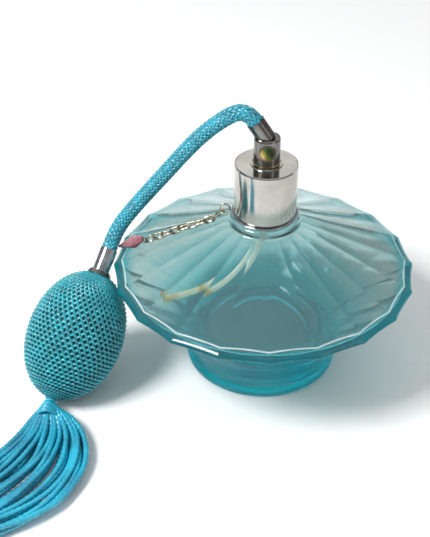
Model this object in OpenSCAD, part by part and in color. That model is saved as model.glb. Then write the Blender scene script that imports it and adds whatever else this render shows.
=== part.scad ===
// Faceted glass perfume bottle with a bulb atomizer, a tassel and a charm on a chain.
// Origin: centre of the foot's underside. +Z up, the nozzle points along -Y.

/* [Glass bottle] */
// Width of the bottle across two opposite points of its rim
rim_d = 114; // [112:0.5:115]
// Number of flat panels round the bottle
panels = 20; // [18:1:22]
// Height of the rim's widest line
rim_z = 41.2; // [40.5:0.1:42]
// Width of the foot
foot_d = 58.8; // [56:0.2:60]
// Width of the bead at the bottom of the neck
bead_d = 26.2; // [26:0.1:26.6]
// Thickness of the glass over the chamber
wall = 2.2; // [1.9:0.1:2.4]

/* [Collar] */
// Outer diameter of the collar
collar_d = 23; // [22.8:0.1:23.2]
// Height of the collar's top face
collar_top = 86.3; // [86:0.1:87]

/* [Spray head] */
// Diameter of the spray head
head_d = 9.5; // [9:0.1:10]
// Height of the spray head's top face
head_top = 97; // [96.5:0.1:97.5]
// Diameter of the nozzle insert
insert_d = 6.2; // [5.6:0.1:6.6]

/* [Hose and bulb] */
// Outer diameter of the braided hose
hose_d = 6; // [5.6:0.1:6]
// Length of the bulb along its axis
bulb_l = 50.8; // [49.6:0.2:50.8]
// Diameter of the bulb
bulb_d = 36.1; // [35:0.1:36.1]

/* [Tassel and chain] */
// Length of the charm
charm_l = 10.2; // [9.4:0.2:10.4]
// Height of the tassel's fringe where it lies on the table
fringe_h = 5; // [4:0.5:6]

/* [Hidden] */
$fn = 72;
eps = 0.02;

// Glass, from the table up
rim_r = rim_d / 2;
top_edge_r = rim_r - 3;
top_edge_z = rim_z + 2.4;
foot_r = foot_d / 2;
bead_r = bead_d / 2;
cone_foot_r = bead_r - 0.4;
cone_foot_z = 62.4;
neck_r = 8;
lip_r = 9.4;
lip_z = 80;
shoulder_z = 65;
bore_r = 5.5;
floor_z = 12.5;
cone_slope = (cone_foot_z - top_edge_z) / (top_edge_r - cone_foot_r);
cone_angle = atan(cone_slope);
function cone_z(r) = cone_foot_z - cone_slope * (r - cone_foot_r);
function inner_z(r) = cone_z(r) - wall / cos(cone_angle);

// Crimped closure
gasket_t = 0.9;
flange_z = lip_z + gasket_t + 2 * eps;
flange_t = 1.1;
plate_z = flange_z + flange_t + eps;
plate_t = 0.5;
stem_r = 2;
stem_bore_r = 0.7;
port_r = 1.4;
barb_r = 1.38;
barb_bore_r = 0.8;
running_gap = 0.05;

// Collar
collar_r = collar_d / 2;
collar_z = 65.1;
collar_wall = 0.6;
collar_plate = 0.9;
collar_hole_r = 4;

// Dip tube: straight down, then one bend that lies towards the rim
dip_top_z = 71.5;
dip_bend_z = 62;
dip_bend_r = 25;
dip_bend = 97;
dip_tail = 13;
dip_turn = 205;

// Spray head
head_r = head_d / 2;
head_z = collar_top + 0.8;
stem_top_z = 93;
nozzle_z = 92.6;
socket_base = [0.6, 0, 94.9];
socket_tilt = 34;
socket_turn = -10;
socket_r = 3.35;
socket_len = 8.9;
socket_floor = 3;

// Hose route, from inside the bulb's ferrule to inside the head's socket
hose_r = hose_d / 2;
hose_sides = 10;
ROUTE = [
    [-60.6, -0.7, 43], [-59.6, 1, 45], [-58.6, 2.7, 46.9], [-57.3, 5.1, 49.4], [-55.6, 7.6, 52.2],
    [-53.3, 9.6, 55.2], [-50.4, 10.9, 58.6], [-47.3, 11.3, 62.4], [-44.2, 11.2, 66.3],
    [-41.2, 10.8, 70.2], [-38.2, 10.1, 74.2], [-35.2, 9.1, 78.4], [-32.2, 8, 82.7],
    [-29.2, 6.9, 86.9], [-26, 5.9, 91.1], [-22.6, 4.9, 95.1], [-19, 4, 98.8], [-15.4, 3.1, 102],
    [-12.4, 2.4, 104.2], [-9.6, 1.9, 105.3], [-7.4, 1.4, 105], [-5.6, 1, 103.9],
    [-4.2, 0.85, 102.2], [-3.1, 0.65, 100.5], [-2, 0.45, 98.9]
];

// Bulb: it leans on the table, and its own axis runs from the knot up to the ferrule
bulb_at = [-71, -18.8, 22.1];
bulb_lean = 45;
bulb_turn = 60;
bulb_a = bulb_l / 2;
bulb_r = bulb_d / 2;
cover_t = 0.9;
rubber_t = 1.7;
cover_gap = 0.15;
egg_steps = 24;
spigot_r = 3.4;
cap_r = 5;
cage_r = 2.6;
ball_r = 1.5;
ball_at = bulb_a - 7.2;

// Tassel
tassel_at = [-80, -37.4, 4.8];
neck_len = 9;

// Chain: it lies on the glass and runs out from the ring round the collar's foot
chain_turn = 174.5;
ring_r = collar_r + 0.7;
ring_wire = 0.4;
ring_z = 65.6;
eye_at = [14.82, 66.1];
eye_r = 1.9;
eye_wire = 0.34;
long_link_l = 6.6;
long_link_w = 3.2;
long_link_s = 3.75;
long_link_lift = 2.78;
long_link_tilt = 16;
link_count = 7;
link_l = 5.3;
link_w = 3.1;
link_wire = 0.45;
link_first_s = 7.95;
link_pitch = 3.47;
link_lift = 1.95;
jump_ring_r = 2.1;
jump_ring_wire = 0.35;
jump_s = link_first_s + link_count * link_pitch;
bail_s = jump_s + 2.42;
charm_s = jump_s + 3.1;
charm_r = 2.6;

module ring(r, wire) {
    rotate_extrude() translate([r, 0]) circle(wire, $fn = 24);
}

// A tube from z = 0 up
module pipe(outer, inner, length) {
    difference() {
        cylinder(r = outer, h = length);
        translate([0, 0, -1]) cylinder(r = inner, h = length + 2);
    }
}

module on_bulb() {
    translate(bulb_at) rotate([0, 90 - bulb_lean, bulb_turn]) children();
}

module on_socket() {
    translate(socket_base) rotate([0, -socket_tilt, socket_turn]) children();
}

// Places a piece s down the glass slope from the neck, lifted off it, with X pointing down it
module on_slope(s, lift) {
    rotate([0, 0, chain_turn]) translate([cone_foot_r, 0, cone_foot_z])
        rotate([0, cone_angle, 0]) translate([s, 0, lift]) children();
}

// Body with flat panels, as stacked rings with one corner per panel
module panelled_body() {
    levels = [
        [31, 19], [35, 23.2], [40, 27.6], [45, 31.7], [50, 35.7], [rim_r - 2.2, rim_z - 1.7],
        [rim_r, rim_z], [top_edge_r, top_edge_z], [2, cone_z(2)]
    ];
    corners = [
        for (level = levels, i = [0 : panels - 1])
            let (a = -90 + i * 360 / panels)
            [level[0] * cos(a), level[0] * sin(a), level[1]]
    ];
    walls = [
        for (j = [0 : len(levels) - 2], i = [0 : panels - 1])
            let (a = j * panels + i, b = j * panels + (i + 1) % panels)
            [a, a + panels, b + panels, b]
    ];
    top = (len(levels) - 1) * panels;
    polyhedron(corners, concat(
        walls, [[for (i = [0 : panels - 1]) i]], [[for (i = [panels - 1 : -1 : 0]) top + i]]
    ));
}

// Round foot and waist, up into the panelled body
module foot_outline() {
    polygon([
        [0, 0], [foot_r - 0.8, 0], [foot_r, 0.8], [foot_r, 2.6], [foot_r - 1.1, 3.5],
        [foot_r - 1.4, 11], [foot_r - 0.7, 15], [30.2, 19], [30.2, 21], [0, 21]
    ]);
}

// Bead, shoulder, neck and lip, from inside the panelled body up
module neck_outline() {
    polygon([
        [0, 58], [bead_r, 58], [bead_r, 64], [bead_r - 0.8, 64.8], [bead_r - 1.6, shoulder_z],
        [neck_r, shoulder_z], [neck_r, 75.4], [lip_r, 76.6], [lip_r, lip_z - 0.8],
        [lip_r - 0.8, lip_z], [0, lip_z]
    ]);
}

module chamber_outline() {
    polygon([
        [0, floor_z], [19, floor_z], [22, 13.5], [23.5, 16], [25, 19], [28.5, 22.6], [35, 27.6],
        [41, 32.4], [47, 37.2], [rim_r - 5.5, rim_z - 1], [rim_r - 4.2, rim_z - 0.2],
        [rim_r - 4, rim_z + 0.4], [rim_r - 4.7, rim_z + 1.2], [50, inner_z(50)],
        [14, inner_z(14)], [8, 60.9],
        [bore_r, 63.5], [bore_r, lip_z + 1], [0, lip_z + 1]
    ]);
}

module glass_bottle() {
    color([0.42, 0.74, 0.77, 0.5]) difference() {
        union() {
            panelled_body();
            rotate_extrude() foot_outline();
            rotate_extrude() neck_outline();
        }
        rotate_extrude() chamber_outline();
    }
}

module neck_gasket() {
    color("dimgray") translate([0, 0, lip_z + eps]) pipe(9.2, 4.3, gasket_t);
}

// Plastic body that hangs in the neck: the stem turns in its upper bore
module valve_housing() {
    color("ivory") difference() {
        union() {
            translate([0, 0, 67]) cylinder(r = 4.2, h = flange_z - 67 + 1);
            translate([0, 0, flange_z]) cylinder(r = 9, h = flange_t);
            translate([0, 0, flange_z]) cylinder(r = 3.2, h = 3.2);
        }
        translate([0, 0, 75.5]) cylinder(r = stem_r + running_gap, h = 20);
        translate([0, 0, 60]) cylinder(r = port_r, h = 11.5);
        translate([0, 0, 60]) cylinder(r = stem_bore_r, h = 20);
    }
}

module crimp_cup() {
    color("silver") rotate_extrude() polygon([
        [3.4, plate_z], [lip_r + 0.1, plate_z], [lip_r + 0.1, 76.6], [neck_r + 0.25, 75.2],
        [neck_r + 0.25, 74.6], [lip_r + 0.6, 76.2], [lip_r + 0.6, plate_z + plate_t],
        [3.4, plate_z + plate_t]
    ]);
}

module dip_tube() {
    bend = [
        for (a = [0 : dip_bend / 8 : dip_bend])
            [dip_bend_r * (1 - cos(a)), 0, dip_bend_z - dip_bend_r * sin(a)]
    ];
    tip = bend[len(bend) - 1] + dip_tail * [sin(dip_bend), 0, -cos(dip_bend)];
    line = concat([[0, 0, dip_top_z]], bend, [tip]);
    color("beige") rotate([0, 0, dip_turn]) difference() {
        swept(line, port_r, 12);
        swept(concat([line[0] + [0, 0, 1]], line, [tip + [1, 0, 0]]), 0.9, 8);
    }
}

module collar_liner() {
    color("white") difference() {
        union() {
            translate([0, 0, collar_z + 0.6]) pipe(collar_r - collar_wall - eps, 10.4, 19.5);
            for (i = [0 : 5]) rotate([0, 0, i * 60]) translate([10.1, -0.6, collar_z + 0.6])
                cube([0.5, 1.2, 19.5]);
        }
        translate([0, 0, 60]) cylinder(r = lip_r + 0.65, h = 30);
    }
}

module collar() {
    color([0.8, 0.79, 0.76]) rotate_extrude() polygon([
        [collar_r - collar_wall, collar_z], [collar_r, collar_z],
        [collar_r, collar_top - 0.5], [collar_r - 0.15, collar_top - 0.15],
        [collar_r - 0.5, collar_top], [head_r + 1.2, collar_top],
        [head_r + 1.1, collar_top + 0.4], [head_r + 0.5, collar_top + 0.4],
        [head_r + 0.4, collar_top], [collar_hole_r, collar_top],
        [collar_hole_r, collar_top - collar_plate],
        [collar_r - collar_wall, collar_top - collar_plate]
    ]);
}

module feed_stem() {
    color("gainsboro") translate([0, 0, 76]) pipe(stem_r, stem_bore_r, stem_top_z - 76);
}

module stem_seal() {
    color("black") translate([0, 0, collar_top - 0.45]) ring(stem_r + 0.5, 0.45);
}

module head_base_ring() {
    color("goldenrod") translate([0, 0, collar_top + 0.1]) difference() {
        rotate_extrude() polygon([
            [stem_r, 0], [head_r - 0.3, 0], [head_r + 0.15, 0.2], [head_r + 0.15, 0.55],
            [head_r - 0.1, 0.68], [stem_r, 0.68]
        ]);
    }
}

module nozzle_pocket(r, depth) {
    translate([0, -head_r - 1, nozzle_z]) rotate([-90, 0, 0]) cylinder(r = r, h = depth + 1);
}

module spray_head() {
    color([0.42, 0.41, 0.4]) difference() {
        rotate_extrude() polygon([
            [0, head_z], [head_r, head_z], [head_r, head_top - 0.7], [head_r - 0.25, head_top - 0.2],
            [head_r - 0.8, head_top], [head_r - 1.6, head_top - 0.1], [0, head_top - 0.5]
        ]);
        translate([0, 0, head_z - 1]) cylinder(r = stem_r, h = stem_top_z - head_z + 1 + eps);
        nozzle_pocket(insert_d / 2, 1.6);
        translate([0, 0, nozzle_z]) rotate([90, 0, 0]) cylinder(r = 0.5, h = head_r);
        on_socket() translate([0, 0, 1.2]) cylinder(r = socket_r, h = 20);
    }
}

module nozzle_insert() {
    color([0.45, 0.47, 0.2]) difference() {
        intersection() {
            nozzle_pocket(insert_d / 2 - eps, 1.6 - eps);
            cylinder(r = head_r + 0.25, h = 120);
        }
        nozzle_pocket(0.8, 1.7);
    }
}

module nozzle_jet() {
    color("khaki") translate([0, -head_r - 0.35, nozzle_z]) rotate([-90, 0, 0])
        pipe(0.78, 0.2, 1.8);
}

module hose_socket() {
    color([0.3, 0.29, 0.28]) on_socket() difference() {
        translate([0, 0, 1.22]) cylinder(r = socket_r - eps, h = socket_len - 1.22);
        translate([0, 0, socket_floor]) cylinder(r = hose_r + 0.08, h = socket_len);
        translate([0, 0, 1]) cylinder(r = port_r, h = 3);
    }
}

module head_barb() {
    color("gainsboro") on_socket() translate([0, 0, 1.24]) pipe(barb_r, barb_bore_r, 2.9);
}

// A tube swept along points, as one closed mesh
function unit(v) = v / norm(v);
function at(p, i) = p[max(0, min(len(p) - 1, i))];
function spline(a, b, c, d, t) = 0.5 * (2 * b + (c - a) * t + (2 * a - 5 * b + 4 * c - d) * t * t
    + (3 * b - a - 3 * c + d) * t * t * t);
function smooth(p, n) = [
    for (i = [0 : len(p) - 2], k = [0 : n - 1])
        spline(at(p, i - 1), p[i], p[i + 1], at(p, i + 2), k / n),
    p[len(p) - 1]
];
module swept(p, r, sides) {
    n = len(p);
    rings = [
        for (i = [0 : n - 1])
            let (t = unit(at(p, i + 1) - at(p, i - 1)), s = unit(cross(t, [0.2, 1, 0])),
                u = cross(t, s))
            for (k = [0 : sides - 1])
                p[i] + r * (cos(360 * k / sides) * s + sin(360 * k / sides) * u)
    ];
    walls = [
        for (i = [0 : n - 2], k = [0 : sides - 1])
            let (a = i * sides + k, b = i * sides + (k + 1) % sides)
            each [[a, b + sides, b], [a, a + sides, b + sides]]
    ];
    last = (n - 1) * sides;
    polyhedron(concat(rings, [p[0], p[n - 1]]), concat(
        walls,
        [for (k = [0 : sides - 1]) [n * sides, k, (k + 1) % sides]],
        [for (k = [0 : sides - 1]) [n * sides + 1, last + (k + 1) % sides, last + k]]
    ));
}

module air_hose() {
    color([0.15, 0.66, 0.72]) swept(smooth(ROUTE, 2), hose_r, hose_sides);
}

module bulb_ferrule() {
    color("silver") on_bulb() translate([0, 0, bulb_a + 0.9]) difference() {
        cylinder(r = hose_r + 0.3, h = 8.8);
        translate([0, 0, 2.6]) cylinder(r = hose_r + 0.08, h = 10);
        translate([0, 0, -1]) cylinder(r = port_r, h = 5);
    }
}

module bulb_barb() {
    color("gainsboro") on_bulb() translate([0, 0, bulb_a - 2]) pipe(barb_r, barb_bore_r, 6);
}

// Flange on the bulb's mouth, with the spigot that the rubber grips
module bulb_cap() {
    color([0.28, 0.27, 0.27]) on_bulb() difference() {
        union() {
            translate([0, 0, bulb_a - 0.6]) cylinder(r1 = cap_r, r2 = cap_r - 1.2, h = 1.4);
            translate([0, 0, bulb_a - 9]) cylinder(r = spigot_r, h = 9);
        }
        translate([0, 0, bulb_a - 10]) cylinder(r = cage_r, h = 8);
        translate([0, 0, bulb_a - 5]) cylinder(r = port_r, h = 10);
    }
}

// Seat and cage of the check valve that lets air out to the hose only
module valve_cage() {
    color("ivory") on_bulb() difference() {
        translate([0, 0, bulb_a - 9]) cylinder(r = cage_r - eps, h = 6.9);
        translate([0, 0, bulb_a - 10]) cylinder(r = 0.9, h = 10);
        translate([0, 0, ball_at - ball_r - running_gap])
            cylinder(r = ball_r + running_gap, h = 2 * ball_r + 2);
    }
}

module valve_ball() {
    color("silver") on_bulb() translate([0, 0, ball_at]) sphere(ball_r);
}

// Half outline of one side of an egg, from height z0 to z1
function egg_side(a, r, z0, z1, n) = [
    for (i = [0 : n])
        let (t0 = acos(z0 / a), t1 = acos(z1 / a), t = t0 + (t1 - t0) * i / n)
        [r * sin(t), a * cos(t)]
];
module egg_shell(a, r, thick, hole_r) {
    z_end = a * sqrt(1 - pow(hole_r / r, 2));
    a2 = a - thick;
    r2 = r - thick;
    z_in = a2 * sqrt(1 - pow(hole_r / r2, 2));
    rotate_extrude() polygon(concat(
        egg_side(a, r, -z_end, z_end, egg_steps), egg_side(a2, r2, z_in, -z_in, egg_steps)
    ));
}

module bulb_rubber() {
    color([0.2, 0.2, 0.2]) on_bulb()
        egg_shell(bulb_a - cover_t - cover_gap, bulb_r - cover_t - cover_gap, rubber_t,
            spigot_r + eps);
}

module bulb_cover() {
    color([0.1, 0.62, 0.68]) on_bulb() egg_shell(bulb_a, bulb_r, cover_t, spigot_r + 1.7);
}

module end_plug() {
    color("gray") on_bulb() translate([0, 0, -bulb_a + 0.6]) cylinder(r = spigot_r, h = 5);
}

module cover_knot() {
    color([0.1, 0.62, 0.68]) on_bulb() translate([0, 0, -bulb_a - 0.15]) difference() {
        cylinder(r = 2.6, h = 0.7);
        translate([0, 0, -1]) cylinder(r = 0.6, h = 3);
    }
}

module along_tassel() {
    translate(tassel_at) rotate([90, 0, 0]) children();
}

module tassel_core() {
    color([0.1, 0.55, 0.7]) along_tassel() rotate_extrude() polygon([
        [0, 0], [1.7, 0], [2.1, 2], [3.6, 6], [3.8, neck_len], [0, neck_len]
    ]);
}

module tassel_binding() {
    color([0.25, 0.75, 0.8]) along_tassel() rotate_extrude() polygon([
        [1.72, 0.1], [2.3, 0.1], [2.8, 2], [4.4, 6], [4.6, neck_len], [3.82, neck_len],
        [3.62, 6], [2.12, 2]
    ]);
}

// Outer shape of the loose cords where they lie on the table
module tassel_fringe() {
    color([0.13, 0.66, 0.8]) translate([0, 0, 0.1]) linear_extrude(fringe_h) polygon([
        [-84, tassel_at[1] - neck_len - 0.05], [-90, -51], [-98, -61], [-110, -72], [-126, -81],
        [-143, -87], [-146, -93], [-143, -100], [-128, -104], [-112, -105], [-96, -102],
        [-82, -96], [-71, -87], [-64, -76], [-62, -66], [-65, -55], [-73, tassel_at[1] - neck_len - 0.05]
    ]);
}

module neck_ring() {
    color("silver") translate([0, 0, ring_z]) ring(ring_r, ring_wire);
}

// Upright ring, soldered to the neck ring, that the long link hooks into
module eye_ring() {
    color("silver") rotate([0, 0, chain_turn]) translate([eye_at[0], 0, eye_at[1]])
        rotate([90, 0, 0]) ring(eye_r, eye_wire);
}

// An oval wire link lying flat, from its length, width and wire radius
module oval_link(length, width, wire) {
    straight = length - width;
    r = width / 2 - wire;
    for (s = [-1, 1]) {
        translate([s * straight / 2, 0, 0]) rotate([0, 0, -s * 90]) rotate_extrude(angle = 180)
            translate([r, 0]) circle(wire, $fn = 24);
        translate([-straight / 2, s * r, 0]) rotate([0, 90, 0])
            cylinder(r = wire, h = straight, $fn = 24);
    }
}

module long_link() {
    color("silver") on_slope(long_link_s, long_link_lift) rotate([0, long_link_tilt, 0])
        oval_link(long_link_l, long_link_w, eye_wire);
}

// Links stand on edge and lie flat by turns
module chain_links() {
    color([0.78, 0.74, 0.62])
        for (i = [0 : link_count - 1]) on_slope(link_first_s + i * link_pitch, link_lift)
            rotate([i % 2 == 0 ? 90 : 0, 0, 0]) oval_link(link_l, link_w, link_wire);
}

module jump_ring() {
    color([0.8, 0.77, 0.66]) on_slope(jump_s, link_lift) ring(jump_ring_r, jump_ring_wire);
}

module charm_bail() {
    color([0.8, 0.77, 0.66]) on_slope(bail_s, link_lift) rotate([90, 0, 0]) ring(0.95, 0.25);
}

// Faceted pink drop: two cones of eight sides, the blunt one towards the chain
module charm() {
    blunt = charm_l * 0.36;
    color([0.75, 0.4, 0.48, 0.8]) on_slope(charm_s, link_lift + 0.95) rotate([0, 90, 0]) union() {
        cylinder(r1 = 1.2, r2 = charm_r, h = blunt, $fn = 8);
        translate([0, 0, blunt]) cylinder(r1 = charm_r, r2 = 0.4, h = charm_l - blunt, $fn = 8);
    }
}

glass_bottle();
neck_gasket();
valve_housing();
crimp_cup();
dip_tube();
collar_liner();
collar();
feed_stem();
stem_seal();
head_base_ring();
spray_head();
nozzle_insert();
nozzle_jet();
hose_socket();
head_barb();
air_hose();
bulb_ferrule();
bulb_barb();
bulb_cap();
valve_cage();
valve_ball();
bulb_rubber();
bulb_cover();
end_plug();
cover_knot();
tassel_core();
tassel_binding();
tassel_fringe();
neck_ring();
eye_ring();
long_link();
chain_links();
jump_ring();
charm_bail();
charm();
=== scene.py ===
"""Looks of a glass perfume bottle with a bulb atomizer, a tassel and a charm, around its CAD frame."""

import math
import random

import bpy
from mathutils import Matrix, Vector, noise


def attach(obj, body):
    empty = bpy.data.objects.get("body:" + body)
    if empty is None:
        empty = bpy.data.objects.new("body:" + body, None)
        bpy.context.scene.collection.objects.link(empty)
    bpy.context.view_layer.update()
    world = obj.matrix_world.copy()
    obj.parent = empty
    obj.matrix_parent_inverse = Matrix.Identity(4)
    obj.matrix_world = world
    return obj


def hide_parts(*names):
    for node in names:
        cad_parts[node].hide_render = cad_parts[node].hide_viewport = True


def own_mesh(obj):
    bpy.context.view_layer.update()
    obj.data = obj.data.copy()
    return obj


MM = 0.001
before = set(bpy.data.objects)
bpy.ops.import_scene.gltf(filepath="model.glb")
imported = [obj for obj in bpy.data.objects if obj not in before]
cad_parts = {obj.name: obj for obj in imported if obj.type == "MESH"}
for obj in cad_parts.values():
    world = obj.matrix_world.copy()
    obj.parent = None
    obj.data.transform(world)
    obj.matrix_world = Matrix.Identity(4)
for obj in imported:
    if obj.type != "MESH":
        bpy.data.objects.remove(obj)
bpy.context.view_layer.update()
random.seed(20)


# ---------------------------------------------------------------- camera

CAMERA_AT = (-18.34 * MM, -322.45 * MM, 276.32 * MM)
CAMERA_LENS = 46.77
LOOKS_DOWN = 36.28


def make_camera():
    """The photograph's view, from the front and above. The tilt is in degrees below level."""
    data = bpy.data.cameras.new("camera")
    data.sensor_fit = "VERTICAL"
    data.sensor_height = 24
    data.lens = CAMERA_LENS
    camera = bpy.data.objects.new("camera", data)
    camera.location = CAMERA_AT
    camera.rotation_euler = (math.radians(90 - LOOKS_DOWN), 0, 0)
    bpy.context.scene.collection.objects.link(camera)
    bpy.context.scene.camera = camera


make_camera()


# ---------------------------------------------------------------- curves and meshes

def spline(points, steps):
    """Catmull-Rom curve through the points, with that many steps between each two."""
    p = [Vector(q) for q in points]
    out = []
    for i in range(len(p) - 1):
        a, b, c, d = p[max(i - 1, 0)], p[i], p[i + 1], p[min(i + 2, len(p) - 1)]
        for k in range(steps):
            t = k / steps
            out.append(0.5 * (2 * b + (c - a) * t + (2 * a - 5 * b + 4 * c - d) * t * t
                              + (3 * b - a - 3 * c + d) * t ** 3))
    return out + [p[-1]]


def even(points, count):
    """The same curve with count points at equal distances."""
    reach = [0.0]
    for a, b in zip(points, points[1:]):
        reach.append(reach[-1] + (b - a).length)
    out, i = [], 0
    for k in range(count):
        s = reach[-1] * k / (count - 1)
        while i < len(points) - 2 and reach[i + 1] < s:
            i += 1
        span = max(reach[i + 1] - reach[i], 1e-9)
        out.append(points[i].lerp(points[i + 1], (s - reach[i]) / span))
    return out


def length_of(points):
    """Length along the points."""
    return sum((b - a).length for a, b in zip(points, points[1:]))


def frames(points):
    """Two directions across the curve at each point, turning as little as possible."""
    tangents = [(points[min(i + 1, len(points) - 1)] - points[max(i - 1, 0)]).normalized()
                for i in range(len(points))]
    side = tangents[0].orthogonal().normalized()
    out = []
    for t in tangents:
        side = (side - t * side.dot(t)).normalized()
        out.append((side.copy(), t.cross(side)))
    return out


def circle(sides):
    """Cosine and sine of equal steps round a circle."""
    turns = [2 * math.pi * k / sides for k in range(sides)]
    return [(math.cos(a), math.sin(a)) for a in turns]


class Shape:
    """Collects vertices and faces of one piece."""

    def __init__(self):
        self.verts, self.faces = [], []

    def grid(self, rings, caps=True):
        """Joins rings of equal size. Caps close the first and last ring."""
        start, n = len(self.verts), len(rings[0])
        for ring in rings:
            self.verts.extend(ring)
        for j in range(len(rings) - 1):
            for i in range(n):
                a, b = start + j * n + i, start + j * n + (i + 1) % n
                self.faces.append((a, b, b + n, a + n))
        if caps:
            self.faces.append(tuple(start + i for i in reversed(range(n))))
            self.faces.append(tuple(start + (len(rings) - 1) * n + i for i in range(n)))

    def tube(self, points, radius, sides, flat=1.0, across=None):
        """A tube along the points. radius is a number or a function of ring and side."""
        across = across or frames(points)
        rings = []
        for i, p in enumerate(points):
            u, v = across[i]
            ring = []
            for k, (c, s) in enumerate(circle(sides)):
                r = radius(i, k) if callable(radius) else radius
                ring.append(p + u * (r * c) + v * (r * flat * s))
            rings.append(ring)
        self.grid(rings)

    def loop(self, points, radius, sides, across):
        """A closed tube: the last ring joins the first."""
        start, n = len(self.verts), len(points)
        for p, (u, v) in zip(points, across):
            self.verts.extend(p + u * (radius * c) + v * (radius * s) for c, s in circle(sides))
        for i in range(n):
            here, after = start + i * sides, start + (i + 1) % n * sides
            for k in range(sides):
                beside = (k + 1) % sides
                self.faces.append((here + k, here + beside, after + beside, after + k))

    def lathe(self, profile, segments, centre, across):
        """Turns (radius, height) points into a closed form about the last of three directions."""
        u, v, w = across
        self.grid([[centre + (u * c + v * s) * r + w * h for c, s in circle(segments)]
                   for r, h in profile])

    def make(self, name, material, body, replaces=(), smooth=0):
        """Makes the piece. smooth is the angle in degrees where an edge turns sharp, or 0 for none."""
        mesh = bpy.data.meshes.new(name)
        mesh.from_pydata([tuple(v) for v in self.verts], [], self.faces)
        mesh.validate()
        mesh.shade_smooth()
        if smooth:
            mesh.set_sharp_from_angle(angle=math.radians(smooth))
        piece = bpy.data.objects.new(name, mesh)
        bpy.context.scene.collection.objects.link(piece)
        mesh.materials.append(material)
        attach(piece, body)
        if replaces:
            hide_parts(*replaces)
        return piece


# ---------------------------------------------------------------- materials

class Paint:
    """A node material with a Principled shader and short calls for what feeds it."""

    def __init__(self, name, **values):
        self.material = bpy.data.materials.new(name)
        self.material.use_nodes = True
        self.tree = self.material.node_tree
        self.shader = self.tree.nodes["Principled BSDF"]
        self.place = self.tree.nodes.new("ShaderNodeTexCoord").outputs["Object"]
        for key, value in values.items():
            self.shader.inputs[key.replace("_", " ")].default_value = value

    def node(self, kind, inputs=None, **settings):
        made = self.tree.nodes.new(kind)
        for key, value in settings.items():
            setattr(made, key, value)
        for key, value in (inputs or {}).items():
            if isinstance(value, bpy.types.NodeSocket):
                self.tree.links.new(value, made.inputs[key])
            else:
                made.inputs[key].default_value = value
        return made

    def noise(self, scale, detail=3.0, distortion=0.0):
        return self.node("ShaderNodeTexNoise", {"Vector": self.place, "Scale": scale, "Detail": detail,
                                                "Distortion": distortion}).outputs["Fac"]

    def ramp(self, fac, *stops):
        made = self.node("ShaderNodeValToRGB", {"Fac": fac})
        stops = [(at, c if len(c) == 4 else (*c, 1)) for at, c in stops]
        ramp = made.color_ramp
        ramp.elements[0].position, ramp.elements[0].color = stops[0]
        ramp.elements[1].position, ramp.elements[1].color = stops[-1]
        for at, c in stops[1:-1]:
            ramp.elements.new(at).color = c
        return made.outputs["Color"]

    def span(self, fac, low, high):
        """Spreads 0 to 1 over low to high."""
        made = self.node("ShaderNodeMapRange", {"Value": fac, "To Min": low, "To Max": high})
        return made.outputs["Result"]

    def fade(self, value, start, end):
        """0 where value is at start, 1 where it is at end."""
        made = self.node("ShaderNodeMapRange", {"Value": value, "From Min": start, "From Max": end})
        return made.outputs["Result"]

    def axis(self, name):
        """The place along X, Y or Z in metres."""
        return self.node("ShaderNodeSeparateXYZ", {"Vector": self.place}).outputs[name]

    def length(self, vector):
        return self.node("ShaderNodeVectorMath", {0: vector}, operation="LENGTH").outputs["Value"]

    def math(self, operation, a, b=0.0):
        return self.node("ShaderNodeMath", {0: a, 1: b}, operation=operation).outputs["Value"]

    def mix(self, fac, a, b):
        made = self.node("ShaderNodeMix", data_type="RGBA", blend_type="MIX")
        for key, value in (("Factor", fac), ("A", a), ("B", b)):
            socket = [s for s in made.inputs if s.name == key and s.enabled][0]
            if isinstance(value, bpy.types.NodeSocket):
                self.tree.links.new(value, socket)
            else:
                socket.default_value = value if key == "Factor" or len(value) == 4 else (*value, 1)
        return [s for s in made.outputs if s.enabled][0]

    def feed(self, socket, value):
        self.tree.links.new(value, self.shader.inputs[socket])

    def bump(self, height, distance, strength):
        made = self.node("ShaderNodeBump", {"Height": height, "Distance": distance, "Strength": strength})
        self.feed("Normal", made.outputs["Normal"])


FINE = 0.02 * MM
NOZZLE_Z = 92.6 * MM


def metal(name, dark, light, rough, patch=90):
    """Polished or scuffed metal: cloudy colour, smudged gloss and fine scratches."""
    p = Paint(name, Metallic=1.0)
    p.feed("Base Color", p.ramp(p.noise(patch, 4), (0.35, dark), (0.65, light)))
    p.feed("Roughness", p.span(p.noise(patch * 3, 5), rough[0], rough[1]))
    p.bump(p.noise(1800, 2, 1.5), FINE, 0.4)
    return p.material


def plastic(name, dark, light, rough=0.4):
    """Moulded plastic or rubber with a faint grain."""
    p = Paint(name)
    p.feed("Base Color", p.ramp(p.noise(240, 4), (0.3, dark), (0.7, light)))
    p.feed("Roughness", p.span(p.noise(500, 3), rough - 0.06, rough + 0.1))
    p.bump(p.noise(2600, 2), FINE, 0.4)
    return p.material


def yarn(name, deep_tone_and_shade, main, painted_glint, rough=0.35, fibres=2600, patch=260):
    """Satin yarn: colour clouds whose dark end is partly painted shade, fine flecks of painted highlight,
    fibre lines in the bump and a soft sheen.
    """
    p = Paint(name, Sheen_Weight=0.12, Sheen_Roughness=0.3, Specular_IOR_Level=0.8)
    p.shader.inputs["Sheen Tint"].default_value = (*painted_glint, 1)
    fine = p.noise(fibres, 2, 0.6)
    # Base colour: clouds of dark tone and painted shade, flecked with painted highlight.
    p.feed("Base Color", p.mix(p.span(fine, 0.0, 0.4),
                               p.ramp(p.noise(patch, 3), (0.3, deep_tone_and_shade), (0.7, main)), painted_glint))
    p.feed("Roughness", p.span(fine, rough - 0.08, rough + 0.15))
    p.bump(fine, 6 * FINE, 0.6)
    return p.material


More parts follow.
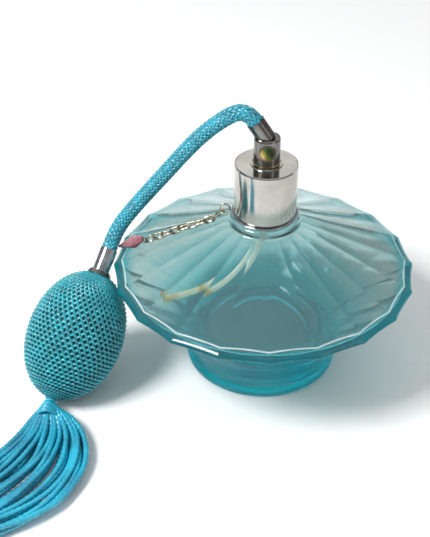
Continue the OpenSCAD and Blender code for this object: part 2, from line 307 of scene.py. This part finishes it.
def tinted_glass():
    """Glass that darkens with depth, with teal and a weak glow painted into its foot and rim, and a
    painted highlight along the rim's top edge.
    """
    p = Paint("tinted_glass", IOR=1.5, Emission_Strength=1.0)
    z = p.axis("Z")
    flat = p.node("ShaderNodeVectorMath", {0: p.place, 1: (1, 1, 0)}, operation="MULTIPLY")
    reach = p.length(flat.outputs["Vector"])
    foot_pale, foot_deep = 36 * MM, 19 * MM
    rim_pale, rim_deep, rim_top, rim_low = 49 * MM, 54.5 * MM, 43.8 * MM, 42.6 * MM
    foot = p.fade(z, foot_pale, foot_deep)
    rim = p.math("MULTIPLY", p.fade(reach, rim_pale, rim_deep), p.fade(z, rim_top, rim_low))
    thick = p.math("MAXIMUM", foot, rim)
    # Painted highlight: a thin whitish, less clear line along the rim's top edge, standing in for the
    # glint on the rounded edge.
    rim_highlight_low, rim_highlight_top, rim_highlight_inside, blur = 43.52 * MM, 43.88 * MM, 50.8 * MM, 0.1 * MM
    rim_highlight = p.math("MULTIPLY", p.fade(reach, rim_highlight_inside, rim_highlight_inside + 6 * blur),
                  p.fade(z, rim_highlight_low, rim_highlight_low + blur))
    rim_highlight = p.math("MULTIPLY", rim_highlight, p.fade(z, rim_highlight_top, rim_highlight_top - blur))
    rim_highlight = p.math("MULTIPLY", rim_highlight, p.span(p.noise(160, 2), 0.35, 1.0))
    cloud = p.noise(38, 5, 0.6)
    pale = p.ramp(cloud, (0.35, (0.8, 0.83, 0.81)), (0.65, (0.73, 0.78, 0.76)))
    teal = p.ramp(cloud, (0.35, (0.02, 0.5, 0.54)), (0.65, (0.01, 0.36, 0.4)))
    p.feed("Base Color", p.mix(rim_highlight, p.mix(thick, pale, teal), (0.92, 0.97, 0.97)))
    clear = p.span(thick, 0.97, 0.94)
    p.feed("Transmission Weight", p.math("SUBTRACT", clear, p.math("MULTIPLY", rim_highlight, 0.6)))
    # Painted glow: weak teal emission in the foot and rim, standing in for light caught in the thick
    # glass.
    painted_glow = p.ramp(cloud, (0.3, (0.0, 0.032, 0.036)), (0.7, (0.0, 0.088, 0.098)))
    p.feed("Emission Color", p.mix(thick, (0, 0, 0), painted_glow))
    dust = p.span(p.ramp(p.noise(70, 5, 0.6), (0.4, (0, 0, 0)), (0.62, (1, 1, 1))), 0.01, 0.08)
    p.feed("Roughness", p.math("ADD", dust, p.math("MULTIPLY", rim, 0.13)))
    p.bump(p.noise(45, 2, 0.6), 15 * FINE, 0.25)
    depth = p.node("ShaderNodeVolumeAbsorption", {"Color": (0.0, 0.7, 0.76, 1), "Density": 80.0})
    p.tree.links.new(depth.outputs["Volume"], p.tree.nodes["Material Output"].inputs["Volume"])
    return p.material


def stained_tube():
    """Milky plastic, stained yellow and brown towards its lower end, with a weak painted glow that
    brightens it inside the glass.
    """
    p = Paint("stained_tube", IOR=1.45, Emission_Strength=0.22)
    tip = -37 * MM
    along = p.fade(p.axis("X"), 0.0, tip)
    spot = p.math("ADD", along, p.math("MULTIPLY", p.math("SUBTRACT", p.noise(230, 4), 0.5), 0.25))
    colour = p.ramp(spot, (0.0, (0.9, 0.94, 0.86)), (0.5, (0.9, 0.9, 0.72)), (0.6, (0.72, 0.45, 0.1)),
                    (0.67, (0.92, 0.85, 0.55)), (0.85, (0.92, 0.9, 0.7)), (1.0, (0.6, 0.4, 0.1)))
    p.feed("Base Color", colour)
    # Painted glow: the tube's own colour, emitted weakly.
    p.feed("Emission Color", colour)
    p.feed("Roughness", p.span(p.noise(700), 0.25, 0.5))
    p.bump(p.noise(1500, 2), 1.5 * FINE, 0.4)
    return p.material


def aged_brass():
    """Dished brass, dark green in its middle, gold towards one side and dark at its edge."""
    p = Paint("aged_brass", Metallic=0.7)
    x, z = p.axis("X"), p.math("SUBTRACT", p.axis("Z"), NOZZLE_Z)
    reach = p.math("SQRT", p.math("ADD", p.math("MULTIPLY", x, x), p.math("MULTIPLY", z, z)))
    edge = p.fade(reach, 1.9 * MM, 3.1 * MM)
    lean = p.math("ADD", p.math("MULTIPLY", x, -140.0), p.math("MULTIPLY", z, -90.0))
    lean = p.math("ADD", p.math("ADD", lean, 0.2), p.math("MULTIPLY", p.noise(420, 5, 0.8), 0.5))
    colour = p.ramp(lean, (0.3, (0.012, 0.03, 0.008)), (0.5, (0.05, 0.09, 0.015)),
                    (0.68, (0.22, 0.2, 0.05)), (0.85, (0.6, 0.42, 0.14)))
    p.feed("Base Color", p.mix(edge, colour, (0.1, 0.085, 0.06)))
    p.feed("Roughness", p.span(p.noise(600, 4), 0.2, 0.45))
    p.bump(p.noise(900, 4), 3 * FINE, 0.5)
    return p.material


def rose_crystal():
    """Cloudy rose glass."""
    p = Paint("rose_crystal", IOR=1.5, Transmission_Weight=0.3)
    cloud = p.noise(320, 4, 0.5)
    p.feed("Base Color", p.ramp(cloud, (0.35, (0.38, 0.12, 0.16)), (0.65, (0.68, 0.36, 0.4))))
    p.feed("Roughness", p.span(p.noise(500), 0.08, 0.28))
    p.bump(p.noise(700, 3), 5 * FINE, 0.5)
    return p.material


GLASS = tinted_glass()
COLLAR = metal("collar_chrome", (0.42, 0.4, 0.37), (0.56, 0.54, 0.5), (0.05, 0.15))
DARK = metal("dark_chrome", (0.1, 0.095, 0.09), (0.24, 0.23, 0.22), (0.12, 0.26), patch=160)
FERRULE = metal("ferrule_chrome", (0.3, 0.31, 0.33), (0.5, 0.53, 0.57), (0.05, 0.16), patch=160)
GOLD = metal("polished_gold", (0.65, 0.45, 0.16), (0.9, 0.7, 0.36), (0.12, 0.28), patch=300)
CHAIN = metal("chain_wire", (0.09, 0.07, 0.04), (0.8, 0.74, 0.58), (0.08, 0.2), patch=900)
STEEL = metal("turned_steel", (0.5, 0.5, 0.49), (0.7, 0.7, 0.69), (0.2, 0.34), patch=260)
CRIMP = metal("crimp_aluminium", (0.68, 0.68, 0.67), (0.82, 0.82, 0.81), (0.24, 0.4))
BRASS = aged_brass()
TUBE = stained_tube()
ROSE = rose_crystal()
WHITE = plastic("valve_plastic", (0.7, 0.68, 0.62), (0.86, 0.84, 0.78))
BLACK = plastic("black_rubber", (0.012, 0.014, 0.016), (0.03, 0.035, 0.04), 0.6)
LINING = plastic("bulb_lining", (0.0, 0.05, 0.065), (0.002, 0.1, 0.12), 0.6)
# The yarns' last colour is painted highlight, flecked in by fine noise; their first is partly painted
# shade.
BRAID = yarn("hose_yarn", (0.0, 0.09, 0.16), (0.0, 0.26, 0.38), (0.12, 0.76, 0.85), 0.2)
KNIT = yarn("knit_yarn", (0.0, 0.09, 0.14), (0.0, 0.28, 0.36), (0.12, 0.8, 0.86), 0.18, 2200)
SATIN = yarn("tassel_satin", (0.0, 0.09, 0.2), (0.0, 0.42, 0.62), (0.09, 0.74, 0.88), 0.22, 1800, 75)


# ---------------------------------------------------------------- hose

# Middle line of the hose in mm, from the bulb to the spray head, as in the CAD source.
ROUTE = [
    (-60.6, -0.7, 43), (-59.6, 1, 45), (-58.6, 2.7, 46.9), (-57.3, 5.1, 49.4), (-55.6, 7.6, 52.2),
    (-53.3, 9.6, 55.2), (-50.4, 10.9, 58.6), (-47.3, 11.3, 62.4), (-44.2, 11.2, 66.3),
    (-41.2, 10.8, 70.2), (-38.2, 10.1, 74.2), (-35.2, 9.1, 78.4), (-32.2, 8, 82.7),
    (-29.2, 6.9, 86.9), (-26, 5.9, 91.1), (-22.6, 4.9, 95.1), (-19, 4, 98.8), (-15.4, 3.1, 102),
    (-12.4, 2.4, 104.2), (-9.6, 1.9, 105.3), (-7.4, 1.4, 105), (-5.6, 1, 103.9),
    (-4.2, 0.85, 102.2), (-3.1, 0.65, 100.5), (-2, 0.45, 98.9)
]
HOSE_R = 3.0 * MM
HOSE_RINGS = 300
STRANDS = 12
STRAND_PITCH = 24 * MM
STRAND_R = 0.58 * MM


def strand(line, across, step, direction, i):
    """One yarn of the braid: its points and the directions across it, flat against the core."""
    middle_r, lift = HOSE_R - 0.56 * MM, 0.24 * MM
    points, outward = [], []
    for n, p in enumerate(line):
        crossing = n * step * 2 * STRANDS / STRAND_PITCH
        wave = math.cos(math.pi / 2 * (2 * i + direction * crossing - 0.5))
        r = middle_r + direction * lift * max(-1, min(1, 1.5 * wave))
        a = 2 * math.pi * (i / STRANDS + direction * n * step / STRAND_PITCH)
        u, v = across[n]
        out = u * math.cos(a) + v * math.sin(a)
        points.append(p + out * r)
        outward.append(out)
    turned = []
    for n, out in enumerate(outward):
        t = (points[min(n + 1, len(points) - 1)] - points[max(n - 1, 0)]).normalized()
        turned.append((t.cross(out).normalized(), out))
    return points, turned


def make_hose():
    """A dark core tube with two sets of yarns braided over two and under two. The core's dark colour is
    also painted shade in the braid's gaps.
    """
    line = spline([Vector(p) * MM for p in ROUTE], 6)
    total = length_of(line)
    line = even(line, HOSE_RINGS)
    across = frames(line)
    tube = Shape()
    # Inner tube, partly real and dark so that the braid's gaps read as painted shade.
    tube.tube(line, HOSE_R - 0.8 * MM, 16, across=across)
    core = tube.make("hose_core", LINING, "atomizer")
    braid = Shape()
    for direction in (1, -1):
        for i in range(STRANDS):
            points, turned = strand(line, across, total / (HOSE_RINGS - 1), direction, i)
            braid.tube(points, STRAND_R, 8, flat=0.55, across=turned)
    hose = braid.make("braided_hose", BRAID, "atomizer", ["air_hose"])


make_hose()


# ---------------------------------------------------------------- tassel

ROOT = Vector((-80, -37.4, 4.8)) * MM
CORD_R = 1.0 * MM
CORDS = 39
FAN_STEPS = 48
RINGS = 300
SHORTEST = 276
RIBS = 6
RIB_PITCH = 2.2 * MM
WRAP_TURNS = 9
# Sides of the fan of cords on the table, in mm.
LEFT_EDGE = [(-81.5, -39), (-83.5, -42.5), (-87, -47.5), (-91, -53.5), (-96.5, -60.5), (-105, -69.5),
             (-117, -78), (-131, -84.5), (-143, -88.5)]
RIGHT_EDGE = [(-78.6, -39), (-75.8, -41.5), (-70.5, -45.5), (-66, -52), (-63.6, -59.5), (-63.3, -67.5),
              (-66, -76.5), (-71.8, -86), (-81, -94), (-94, -100.5)]


def fan_edge(points):
    """One side of the fan, flat on the table, at equal distances."""
    return even(spline([Vector((*p, 0)) * MM for p in points], 6), FAN_STEPS + 1)


def tassel_line(i):
    """Route of one cord: from the bundle under the wrap out to its place in the fan."""
    share = (i + 0.5) / CORDS
    layer = i % 3
    drift, phase = random.uniform(-0.05, 0.05), random.uniform(0, 6.28)
    bundle = ROOT.z + (layer - 1) * 2.3 * MM * math.sqrt(1 - (2 * share - 1) ** 2)
    out = []
    for n, (a, b) in enumerate(zip(fan_edge(LEFT_EDGE), fan_edge(RIGHT_EDGE))):
        s = n / FAN_STEPS
        f = share + drift * math.sin(5 * s + phase) * min(1, 3 * s)
        p = a.lerp(b, max(0.02, min(0.98, f)))
        lie = CORD_R + 0.05 * MM + layer * (1.5 + 0.3 * math.sin(9 * s + phase)) * MM
        k = min(1, s / 0.22)
        p.z = bundle + (lie - bundle) * k * k * (3 - 2 * k)
        out.append(p)
    return even(spline(out, 3), RINGS)


def make_tassel():
    """Ribbed satin cords, each cut to its own length."""
    for i in range(CORDS):
        line = tassel_line(i)
        line = line[:random.randint(SHORTEST, RINGS)]
        total = length_of(line)
        turn = random.uniform(0, 6.28)
        step = total / (len(line) - 1)

        def ribbed(n, k):
            lobe = abs(math.cos(math.pi * k / RIBS - math.pi * n * step / RIB_PITCH + turn))
            return CORD_R * (0.78 + 0.22 * lobe)

        shape = Shape()
        shape.tube(line, ribbed, 2 * RIBS)
        cord = shape.make(f"tassel_cord_{i + 1:02d}", SATIN, "tassel",
                          ["tassel_fringe"] if i == 0 else [])


def make_wrap():
    """Turns of yarn round the neck of the tassel, each a little wider and flat towards the table."""
    along = Vector((0, 1, 0))
    wrap = Shape()
    for turn in range(WRAP_TURNS):
        y = (-37.9 - turn * 0.86) * MM
        r = (1.9 + 0.32 * turn - 0.012 * turn * turn) * MM
        ring, across = [], []
        for k in range(48):
            a = 2 * math.pi * k / 48
            out = Vector((math.cos(a), 0, math.sin(a)))
            lean = 0.3 * MM * math.sin(a + 2 * turn)
            low = min(1.0, (ROOT.z - 0.7 * MM) / r) if out.z < 0 else 1.0
            ring.append(Vector((ROOT.x + out.x * r, y + lean, ROOT.z + out.z * r * low)))
            across.append((out, along))
        wrap.loop(ring, 0.56 * MM, 10, across)
    wrap.make("tassel_wrap", SATIN, "tassel", ["tassel_binding", "tassel_core"])


make_tassel()
make_wrap()


# ---------------------------------------------------------------- bulb

# The bulb's middle, half its length, its radius and its axes: from the knot to the mouth, and across.
BULB_AT = Vector((-71, -18.8, 22.1)) * MM
BULB_A, BULB_R = 25.4 * MM, 18.05 * MM
BULB_UP = Vector((math.cos(math.radians(60)), math.sin(math.radians(60)), 1)).normalized()
BULB_SIDE = Vector((-math.sin(math.radians(60)), math.cos(math.radians(60)), 0))
BULB_OUT = BULB_SIDE.cross(BULB_UP)
ROWS, WAVES = 38, 46
FIRST_LAT, LAST_LAT = 0.13, math.pi - 0.23
WAVE_STEPS = 8
LOOP_R = 0.5 * MM


def on_egg(lat, lon, inset):
    """Point on the bulb: lat from the knot (0) to the mouth (pi)."""
    a, r = BULB_A - inset, BULB_R - inset
    out = BULB_SIDE * math.cos(lon) + BULB_OUT * math.sin(lon)
    return BULB_AT - BULB_UP * (a * math.cos(lat)) + out * (r * math.sin(lat))


def squeeze(piece):
    """Gives the piece its own copy of its mesh."""
    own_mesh(piece)


def row_lats():
    """The rows' latitudes and the distance between them, at equal steps along the egg's side."""
    steps = 400
    table = [FIRST_LAT + (LAST_LAT - FIRST_LAT) * k / steps for k in range(steps + 1)]
    arc = [0.0]
    for a, b in zip(table, table[1:]):
        arc.append(arc[-1] + (on_egg(b, 0, 0) - on_egg(a, 0, 0)).length)
    pitch = arc[-1] / ROWS
    lats = []
    for j in range(ROWS):
        s = arc[-1] * (j + 0.5) / ROWS
        lats.append(table[min(range(steps + 1), key=lambda m: abs(arc[m] - s))])
    return lats, pitch


def knit_row(knit, j, lat, pitch):
    """One row of yarn that swings to and fro, half a wave out of step with the row before."""
    samples = WAVES * WAVE_STEPS
    nudge = 0.01
    speed = (on_egg(lat + nudge, 0, 0) - on_egg(lat - nudge, 0, 0)).length / (2 * nudge)
    swing = 0.4 * pitch / speed
    ring, across = [], []
    for k in range(samples):
        lon = 2 * math.pi * k / samples
        w = 2 * abs(math.sin(WAVES * lon / 2 + math.pi / 2 * (j % 2))) ** 0.8 - 1
        rough = 0.10 * noise.noise(Vector((lon * 9, lat * 14, 3.0)))
        ring.append(on_egg(lat + swing * (w + rough), lon, (0.54 - 0.3 * w) * MM))
    for k in range(samples):
        t = (ring[(k + 1) % samples] - ring[k - 1]).normalized()
        out = (ring[k] - BULB_AT).normalized()
        out = (out - t * out.dot(t)).normalized()
        across.append((out, t.cross(out)))
    thin = min(1.0, 0.35 + 0.65 * math.sin(lat) * 1.25)
    knit.loop(ring, LOOP_R * thin, 6, across)


def make_cover():
    """Rows of looped yarn, thinner towards the bulb's ends."""
    knit = Shape()
    lats, pitch = row_lats()
    for j, lat in enumerate(lats):
        knit_row(knit, j, lat, pitch)
    cover = knit.make("knitted_cover", KNIT, "bulb_wall", ["bulb_cover"])
    squeeze(cover)


def make_rubber():
    """The dark rubber egg that shows between the loops."""
    inset, end, steps = 0.95 * MM, 0.09, 40
    profile = []
    for k in range(steps + 1):
        lat = end + (math.pi - 2 * end) * k / steps
        profile.append(((BULB_R - inset) * math.sin(lat), -(BULB_A - inset) * math.cos(lat)))
    egg = Shape()
    egg.lathe(profile, 72, BULB_AT, (BULB_SIDE, BULB_OUT, BULB_UP))
    inner = egg.make("rubber_bulb", LINING, "bulb_wall", ["bulb_rubber"])
    squeeze(inner)


def make_knot():
    """Turns of yarn that close the cover at the tassel's end."""
    knot = Shape()
    for j in range(4):
        at = BULB_AT - BULB_UP * (BULB_A - 0.9 * MM + j * 0.65 * MM)
        r = (2.1 - 0.3 * j) * MM
        ring, across = [], []
        for k in range(36):
            a = 2 * math.pi * k / 36
            out = BULB_SIDE * math.cos(a) + BULB_OUT * math.sin(a)
            ring.append(at + out * r + BULB_UP * (0.3 * MM * math.sin(a * 2 + j)))
            across.append((out, BULB_UP))
        knot.loop(ring, 0.52 * MM, 8, across)
    knot.make("cover_knot_wraps", KNIT, "atomizer", ["cover_knot"])


make_cover()
make_rubber()
make_knot()


# ---------------------------------------------------------------- glass bottle

PANELS = 20
# Places of the columns of vertices across one panel, closest at the ridges.
COLUMNS = (0.0, 0.012, 0.03, 0.07, 0.15, 0.27, 0.4, 0.5, 0.6, 0.73, 0.85, 0.93, 0.97, 0.988)


def glass_rings():
    """Outer rings from the foot's middle up: radius, height, straightness of the sides, scallop depth."""
    return [
        (0.01, 1.2, 0, 0), (21, 1.0, 0, 0), (25.5, 0.5, 0, 0), (27.8, 0.0, 0, 0), (28.9, 0.15, 0, 0),
        (29.4, 0.8, 0, 0), (29.4, 2.2, 0, 0), (28.9, 3.1, 0, 0), (28.2, 4.2, 0, 0), (27.9, 7, 0, 0),
        (28.0, 11, 0, 0), (28.7, 15, 0.1, 0), (31, 19, 0.5, 0.1), (35, 23.2, 0.9, 0.2),
        (40, 27.6, 1, 0.3), (45, 31.7, 1, 0.4), (50, 35.7, 1, 0.5), (54.5, 39.3, 1, 0.6),
        (56.2, 40.4, 1, 0.5), (57, 41.2, 1, 0.45), (56.9, 41.8, 1, 0.45), (56.2, 42.5, 1, 0.5),
        (55.3, 43.05, 1, 0.5), (54.3, 43.5, 1, 0.5), (53.5, 43.85, 1, 0.5), (45, 47.7, 1, 0.42),
        (35, 52.25, 1, 0.36), (25, 56.8, 1, 0.28), (18, 60.0, 1, 0.2), (14.2, 61.7, 1, 0.08),
        (13.4, 62.05, 0.4, 0),
        (13.1, 62.5, 0, 0), (13.3, 63.1, 0, 0), (13.1, 63.9, 0, 0), (12.5, 64.6, 0, 0),
        (11.5, 65, 0, 0), (8.2, 65, 0, 0), (8.0, 65.3, 0, 0), (8.0, 75.4, 0, 0), (9.4, 76.6, 0, 0),
        (9.4, 79.2, 0, 0), (8.6, 80, 0, 0), (5.7, 80, 0, 0)
    ]


def chamber_rings():
    """Inner wall from the lip down to the middle of the floor."""
    return [
        (5.5, 79.8), (5.5, 64), (6.2, 62.8), (8, 61.0), (14, 59.4), (24, 54.8), (34, 50.3), (44, 45.7),
        (50, 43.1), (51.8, 42.5), (52.8, 41.8), (53.0, 41.3), (52.6, 40.9), (51.4, 40.2), (47, 37.0),
        (41, 32.3), (35, 27.5), (29, 22.9), (25.6, 19.4), (23.8, 16.2), (22.2, 13.7), (19.5, 12.7),
        (12, 12.4), (0.01, 12.4)
    ]


def make_glass():
    """Outer wall and chamber in one closed form. The scallops are only on the outside."""
    half = math.pi / PANELS
    front = -math.pi / 2
    rings = []
    for r, z, straight, scallop in glass_rings():
        ring = []
        for i in range(PANELS):
            for t in COLUMNS:
                off = (t - 0.5) * 2 * half
                chord = math.cos(half) / math.cos(off)
                dip = scallop * math.sin(math.pi * t) ** 0.9
                reach = r * (1 + straight * (chord - 1)) - dip
                a = front + i * 2 * half + half + off
                ring.append(Vector((reach * math.cos(a), reach * math.sin(a), z)) * MM)
        rings.append(ring)
    turns = [front + (i + t) * 2 * half for i in range(PANELS) for t in COLUMNS]
    for r, z in chamber_rings():
        rings.append([Vector((r * math.cos(a), r * math.sin(a), z)) * MM for a in turns])
    shape = Shape()
    shape.grid(rings)
    shape.make("bottle_glass", GLASS, "bottle", ["glass_bottle"])


make_glass()


def make_dip_tube():
    """Open tube: straight down, then one bend out towards the rim."""
    top, in_housing, bend_top, bend_r, tail = 71.5, 66.5, 62, 25, 13
    bend_angle, steps, heading = 97, 32, 205
    flat = [Vector((0, 0, top)), Vector((0, 0, in_housing))]
    for k in range(steps + 1):
        a = math.radians(bend_angle * k / steps)
        flat.append(Vector((bend_r * (1 - math.cos(a)), 0, bend_top - bend_r * math.sin(a))))
    flat.append(flat[-1] + tail * Vector((math.sin(a), 0, -math.cos(a))))
    turn = Matrix.Rotation(math.radians(heading), 3, "Z")
    line = even([turn @ p * MM for p in flat], 90)
    across = frames(line)
    rings = []
    for r, order in ((1.4 * MM, 1), (0.9 * MM, -1)):
        for n in range(len(line))[::order]:
            u, v = across[n]
            rings.append([line[n] + (u * c + v * s) * r for c, s in circle(24)])
    rings.append(rings[0])
    shape = Shape()
    shape.grid(rings, caps=False)
    shape.make("stained_dip_tube", TUBE, "bottle", ["dip_tube"], smooth=40)


make_dip_tube()


# ---------------------------------------------------------------- carried CAD nodes

def paint_nodes():
    """Gives each CAD node that is kept as it is its material."""
    looks = {
        COLLAR: ["collar"],
        DARK: ["spray_head", "hose_socket", "bulb_cap"],
        GOLD: ["head_base_ring"],
        BRASS: ["nozzle_insert", "nozzle_jet"],
        CHAIN: ["eye_ring", "long_link", "chain_links", "jump_ring", "charm_bail"],
        FERRULE: ["bulb_ferrule", "neck_ring"],
        STEEL: ["feed_stem", "head_barb", "bulb_barb", "valve_ball"],
        CRIMP: ["crimp_cup"],
        WHITE: ["valve_housing", "collar_liner", "valve_cage"],
        BLACK: ["neck_gasket", "stem_seal", "end_plug"],
        ROSE: ["charm"],
    }
    for material, names in looks.items():
        for name in names:
            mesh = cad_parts[name].data
            mesh.materials.clear()
            mesh.materials.append(material)


paint_nodes()


# ---------------------------------------------------------------- stage and light

def make_stage():
    """A white floor that brightens with distance, which softens the horizon."""
    half, near, far = 4.0, 0.4, 2.2
    corners = [(-half, -half, 0), (half, -half, 0), (half, half, 0), (-half, half, 0)]
    mesh = bpy.data.meshes.new("floor")
    mesh.from_pydata(corners, [], [(0, 1, 2, 3)])
    floor = bpy.data.objects.new("floor", mesh)
    bpy.context.scene.collection.objects.link(floor)
    p = Paint("floor_paint", Roughness=0.9, Emission_Strength=1.0)
    p.feed("Base Color", p.ramp(p.noise(3), (0.3, (0.9, 0.9, 0.9)), (0.7, (0.92, 0.92, 0.92))))
    away = p.fade(p.length(p.place), near, far)
    p.feed("Emission Color", p.ramp(away, (0.0, (0, 0, 0)), (0.5, (0.45,) * 3), (1.0, (0.62,) * 3)))
    mesh.materials.append(p.material)


def make_light(name, place, size, power):
    """A white area light that looks at the object's middle."""
    target = Vector((-0.02, -0.01, 0.05))
    data = bpy.data.lights.new(name, "AREA")
    data.shape = "RECTANGLE"
    data.size, data.size_y = size
    data.energy = power
    light = bpy.data.objects.new(name, data)
    light.location = place
    light.rotation_euler = (target - Vector(place)).to_track_quat("-Z", "Y").to_euler()
    bpy.context.scene.collection.objects.link(light)


def make_world():
    """Grey sky, lighter upwards, for light and reflections. The camera sees a plain near-white."""
    world = bpy.data.worlds.new("studio")
    world.use_nodes = True
    tree = world.node_tree
    place = tree.nodes.new("ShaderNodeTexCoord")
    split = tree.nodes.new("ShaderNodeSeparateXYZ")
    ramp = tree.nodes.new("ShaderNodeValToRGB")
    tree.links.new(place.outputs["Generated"], split.inputs["Vector"])
    tree.links.new(split.outputs["Z"], ramp.inputs["Fac"])
    ramp.color_ramp.elements[0].position = 0.0
    ramp.color_ramp.elements[0].color = (0.16, 0.15, 0.14, 1)
    ramp.color_ramp.elements[1].position = 0.8
    ramp.color_ramp.elements[1].color = (0.62, 0.63, 0.64, 1)
    ramp.color_ramp.elements.new(0.35).color = (0.34, 0.34, 0.34, 1)
    light_path = tree.nodes.new("ShaderNodeLightPath")
    pick = tree.nodes.new("ShaderNodeMixShader")
    plain = tree.nodes.new("ShaderNodeBackground")
    plain.inputs["Color"].default_value = (0.93, 0.93, 0.93, 1)
    background = tree.nodes["Background"]
    tree.links.new(ramp.outputs["Color"], background.inputs["Color"])
    tree.links.new(light_path.outputs["Is Camera Ray"], pick.inputs["Fac"])
    tree.links.new(background.outputs["Background"], pick.inputs[1])
    tree.links.new(plain.outputs["Background"], pick.inputs[2])
    tree.links.new(pick.outputs["Shader"], tree.nodes["World Output"].inputs["Surface"])
    bpy.context.scene.world = world


def set_light_paths():
    """Enough bounces for light to pass the glass's walls, whose rim turns black with fewer."""
    bpy.context.scene.cycles.max_bounces = 16
    bpy.context.scene.cycles.glossy_bounces = 12
    bpy.context.scene.cycles.transmission_bounces = 16


make_stage()
make_light("key", (-0.55, -0.3, 0.75), (0.3, 0.3), 9.5)
make_light("fill", (0.65, -0.45, 0.5), (0.3, 0.5), 0.5)
make_light("back", (0.1, 1.1, 0.85), (1.4, 0.7), 1.9)
make_world()
set_light_paths()
bpy.context.scene.view_settings.view_transform = "Standard"
